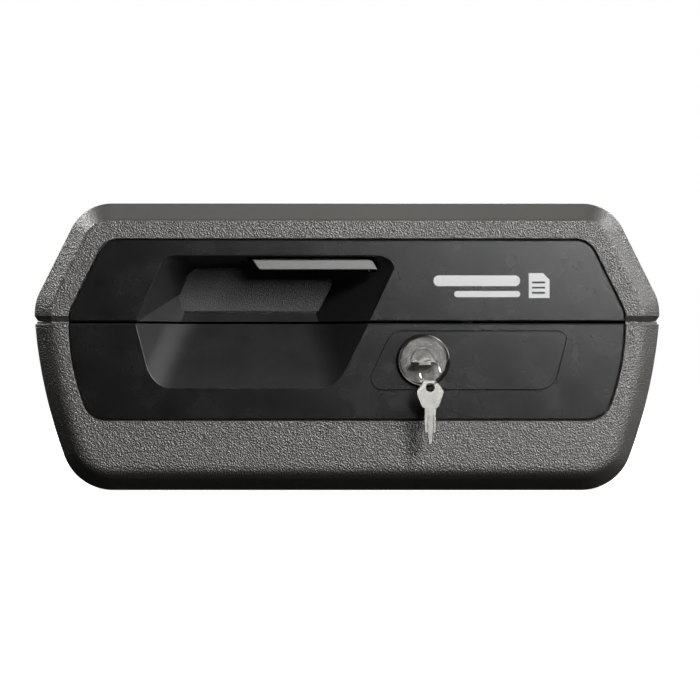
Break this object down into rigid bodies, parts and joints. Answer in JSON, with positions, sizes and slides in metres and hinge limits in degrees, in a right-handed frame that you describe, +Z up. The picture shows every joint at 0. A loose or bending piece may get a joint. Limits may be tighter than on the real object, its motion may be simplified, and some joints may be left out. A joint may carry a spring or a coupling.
{
  "type": "fire-resistant document chest",
  "caption": "Insulated clamshell document chest with a rear hinge, a pull latch in a finger recess and a cam lock with key, split ring and spare key.",
  "frame": {"origin": "centre of the base, on the surface the chest stands on", "axes": "+X to the right seen from the front, +Y to the hinged back, +Z up; the fascia faces -Y"},
  "size_m": [0.364, 0.3533, 0.167],
  "materials": {
    "shell_plastic": "warm dark grey, coarse pebble texture",
    "liner_plastic": "dark grey, fine texture",
    "insulation": "cast mineral fill, off-white",
    "plug_plastic": "dark grey, fine texture",
    "fascia_plastic": "black, satin",
    "recess_plastic": "black, fine even grain",
    "mark_print": "white printed mark",
    "seal_rubber": "black, soft",
    "latch_plastic": "black acetal, matte",
    "grip_plastic": "light grey, satin",
    "steel": "zinc plated",
    "spring_steel": "drawn wire",
    "hinge_steel": "black powder coat",
    "lock_chrome": "polished nickel chrome",
    "lock_black": "black, satin",
    "key_metal": "nickel plated"
  },
  "bodies": {
    "base": {"base_shell": "shell_plastic", "base_insulation": "insulation", "base_liner": "liner_plastic", "base_fill_plugs": "plug_plastic", "base_front_panel": "fascia_plastic", "lock_plate": "fascia_plastic", "lock_housing": "lock_chrome", "lock_bezel": "lock_black", "lock_nut": "steel", "latch_strikes": "steel", "latch_strike_screws": "steel", "hinge_base_leaves": "hinge_steel", "hinge_base_screws": "steel", "hinge_pins": "steel"},
    "lid": {"lid_shell": "shell_plastic", "lid_insulation": "insulation", "lid_liner": "liner_plastic", "lid_fill_plugs": "plug_plastic", "lid_gasket": "seal_rubber", "lid_front_panel": "fascia_plastic", "lid_recess_back": "recess_plastic", "lid_badge": "mark_print", "latch_bearings": "latch_plastic", "latch_spring": "spring_steel", "lid_lock_strike": "steel", "lid_strike_screws": "steel", "hinge_lid_leaves": "hinge_steel", "hinge_lid_screws": "steel"},
    "latch": {"latch_rod": "steel", "latch_arms": "latch_plastic", "latch_paddle": "latch_plastic", "latch_grip": "grip_plastic"},
    "plug": {"lock_plug": "lock_chrome", "lock_cam": "steel", "cam_nut": "steel"},
    "key": {"key": "key_metal"},
    "ring": {"key_ring": "key_metal"},
    "spare": {"spare_key": "key_metal"}
  },
  "joints": [
    {"name": "lid_hinge", "type": "hinge", "parent": "base", "child": "lid", "pos_m": [0, 0.166, 0.0977], "axis": [-1, 0, 0], "range_deg": [0, 100]},
    {"name": "latch_lever", "type": "hinge", "parent": "lid", "child": "latch", "pos_m": [0, -0.15, 0.1398], "axis": [-1, 0, 0], "range_deg": [0, 10], "stiffness_Nm_per_rad": 0.3, "springref_deg": -11.46},
    {"name": "lock_turn", "type": "hinge", "parent": "base", "child": "plug", "pos_m": [0.0442, -0.15, 0.0756], "axis": [0, 1, 0], "range_deg": [0, 90]},
    {"name": "key_slide", "type": "slide", "parent": "plug", "child": "key", "axis": [0, -1, 0], "range_m": [0, 0.024]},
    {"name": "ring_swing", "type": "hinge", "parent": "key", "child": "ring", "pos_m": [0.04681, -0.17766, 0.07185], "axis": [-0.6, -0.8, 0], "range_deg": [0, 90]},
    {"name": "spare_key_swing", "type": "hinge", "parent": "ring", "child": "spare", "pos_m": [0.0474, -0.1781, 0.06165], "axis": [0.8, -0.6, 0], "range_deg": [-60, 20]}
  ]
}
